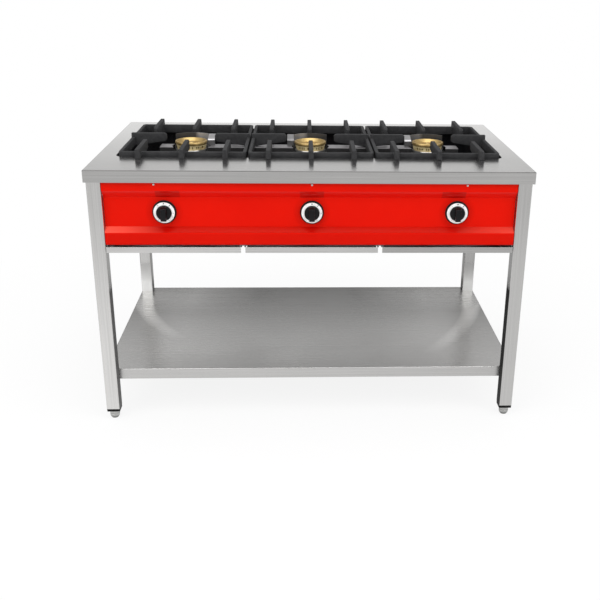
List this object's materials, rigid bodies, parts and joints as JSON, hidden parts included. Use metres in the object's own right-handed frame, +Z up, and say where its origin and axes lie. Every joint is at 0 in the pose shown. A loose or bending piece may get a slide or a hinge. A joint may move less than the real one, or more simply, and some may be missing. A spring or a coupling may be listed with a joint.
{
  "type": "gas range",
  "caption": "Floor-standing gas range on an open stand: steel top plate with lift-off cast pan grates over brass burners, red control panel with push-turn knobs, drip trays and an undershelf.",
  "frame": {"origin": "on the floor, under the middle of the whole object's bounding box", "axes": "+X to the user's right along the front, +Y from the controls to the back, +Z up; the controls face -Y"},
  "size_m": [1.2, 0.7456, 0.764],
  "materials": {
    "top_steel": "brushed, satin",
    "leg_steel": "brushed, satin",
    "shelf_steel": "brushed, satin",
    "casing_steel": "brushed, satin",
    "frame_steel": "zinc-plated, dull",
    "channel_steel": "plain, dull",
    "tray_steel": "brushed, satin",
    "foot_steel": "turned, satin",
    "pilot_steel": "plain, heat tinted",
    "ring_steel": "turned, bright",
    "screw_steel": "plated",
    "stem_steel": "turned",
    "pipe_steel": "zinc-plated, dull",
    "valve_brass": "machined",
    "head_brass": "cast and turned, satin",
    "tube_copper": "drawn tube",
    "burner_iron": "cast, rough",
    "grate_iron": "enamelled casting, satin",
    "red_enamel": "gloss enamel",
    "black_enamel": "matt enamel",
    "knob_black": "moulded, half gloss",
    "bezel_black": "moulded, matt",
    "dial_white": "moulded, gloss",
    "cap_black": "moulded, matt"
  },
  "bodies": {
    "range_body": {"top_plate": "top_steel", "upper_frame_rails": "frame_steel", "undershelf": "shelf_steel", "shelf_stiffener": "shelf_steel", "control_panel": "red_enamel", "panel_screws": "screw_steel", "side_panel_left": "casing_steel", "side_panel_right": "casing_steel", "back_panel": "casing_steel", "burner_box": "black_enamel", "burner_channel": "channel_steel", "burner_rails": "frame_steel", "gas_manifold": "pipe_steel", "knob_bezels": "bezel_black", "injectors": "valve_brass", "gas_tubes": "tube_copper", "tray_runners": "frame_steel", "tray_ledges": "frame_steel", "leg_end_caps": "cap_black", "leg_front_left": "leg_steel", "leg_front_right": "leg_steel", "leg_back_left": "leg_steel", "leg_back_right": "leg_steel", "gas_valve_1": "valve_brass", "burner_body_1": "burner_iron", "burner_ring_1": "ring_steel", "pilot_1": "pilot_steel", "gas_valve_2": "valve_brass", "burner_body_2": "burner_iron", "burner_ring_2": "ring_steel", "pilot_2": "pilot_steel", "gas_valve_3": "valve_brass", "burner_body_3": "burner_iron", "burner_ring_3": "ring_steel", "pilot_3": "pilot_steel"},
    "valve_push_1": {"push_rod_1": "stem_steel"},
    "knob_turn_1": {"knob_1": "knob_black", "knob_dial_1": "dial_white", "valve_stem_1": "stem_steel"},
    "tray_1": {"drip_tray_1": "tray_steel"},
    "grate_1": {"pan_grate_1": "grate_iron"},
    "head_1": {"burner_head_1": "head_brass"},
    "valve_push_2": {"push_rod_2": "stem_steel"},
    "knob_turn_2": {"knob_2": "knob_black", "knob_dial_2": "dial_white", "valve_stem_2": "stem_steel"},
    "tray_2": {"drip_tray_2": "tray_steel"},
    "grate_2": {"pan_grate_2": "grate_iron"},
    "head_2": {"burner_head_2": "head_brass"},
    "valve_push_3": {"push_rod_3": "stem_steel"},
    "knob_turn_3": {"knob_3": "knob_black", "knob_dial_3": "dial_white", "valve_stem_3": "stem_steel"},
    "tray_3": {"drip_tray_3": "tray_steel"},
    "grate_3": {"pan_grate_3": "grate_iron"},
    "head_3": {"burner_head_3": "head_brass"},
    "foot_body_front_left": {"foot_front_left": "foot_steel"},
    "foot_body_front_right": {"foot_front_right": "foot_steel"},
    "foot_body_back_left": {"foot_back_left": "foot_steel"},
    "foot_body_back_right": {"foot_back_right": "foot_steel"}
  },
  "joints": [
    {"name": "knob_push_1", "type": "slide", "parent": "range_body", "child": "valve_push_1", "axis": [0, 1, 0], "range_m": [0, 0.0035], "stiffness_N_per_m": 1000},
    {"name": "knob_turn_1", "type": "hinge", "parent": "valve_push_1", "child": "knob_turn_1", "pos_m": [-0.396, -0.36775, 0.62], "axis": [0, -1, 0], "range_deg": [0, 210]},
    {"name": "knob_push_2", "type": "slide", "parent": "range_body", "child": "valve_push_2", "axis": [0, 1, 0], "range_m": [0, 0.0035], "stiffness_N_per_m": 1000},
    {"name": "knob_turn_2", "type": "hinge", "parent": "valve_push_2", "child": "knob_turn_2", "pos_m": [0, -0.36775, 0.62], "axis": [0, -1, 0], "range_deg": [0, 210]},
    {"name": "knob_push_3", "type": "slide", "parent": "range_body", "child": "valve_push_3", "axis": [0, 1, 0], "range_m": [0, 0.0035], "stiffness_N_per_m": 1000},
    {"name": "knob_turn_3", "type": "hinge", "parent": "valve_push_3", "child": "knob_turn_3", "pos_m": [0.396, -0.36775, 0.62], "axis": [0, -1, 0], "range_deg": [0, 210]},
    {"name": "tray_slide_1", "type": "slide", "parent": "range_body", "child": "tray_1", "axis": [0, -1, 0], "range_m": [0, 0.4]},
    {"name": "tray_slide_2", "type": "slide", "parent": "range_body", "child": "tray_2", "axis": [0, -1, 0], "range_m": [0, 0.4]},
    {"name": "tray_slide_3", "type": "slide", "parent": "range_body", "child": "tray_3", "axis": [0, -1, 0], "range_m": [0, 0.4]},
    {"name": "grate_lift_1", "type": "slide", "parent": "range_body", "child": "grate_1", "axis": [0, 0, 1], "range_m": [0, 0.12]},
    {"name": "grate_lift_2", "type": "slide", "parent": "range_body", "child": "grate_2", "axis": [0, 0, 1], "range_m": [0, 0.12]},
    {"name": "grate_lift_3", "type": "slide", "parent": "range_body", "child": "grate_3", "axis": [0, 0, 1], "range_m": [0, 0.12]},
    {"name": "head_lift_1", "type": "slide", "parent": "range_body", "child": "head_1", "axis": [0, 0, 1], "range_m": [0, 0.08]},
    {"name": "head_lift_2", "type": "slide", "parent": "range_body", "child": "head_2", "axis": [0, 0, 1], "range_m": [0, 0.08]},
    {"name": "head_lift_3", "type": "slide", "parent": "range_body", "child": "head_3", "axis": [0, 0, 1], "range_m": [0, 0.08]},
    {"name": "foot_screw_front_left", "type": "slide", "parent": "range_body", "child": "foot_body_front_left", "axis": [0, 0, -1], "range_m": [0, 0.02]},
    {"name": "foot_screw_front_right", "type": "slide", "parent": "range_body", "child": "foot_body_front_right", "axis": [0, 0, -1], "range_m": [0, 0.02]},
    {"name": "foot_screw_back_left", "type": "slide", "parent": "range_body", "child": "foot_body_back_left", "axis": [0, 0, -1], "range_m": [0, 0.02]},
    {"name": "foot_screw_back_right", "type": "slide", "parent": "range_body", "child": "foot_body_back_right", "axis": [0, 0, -1], "range_m": [0, 0.02]}
  ]
}
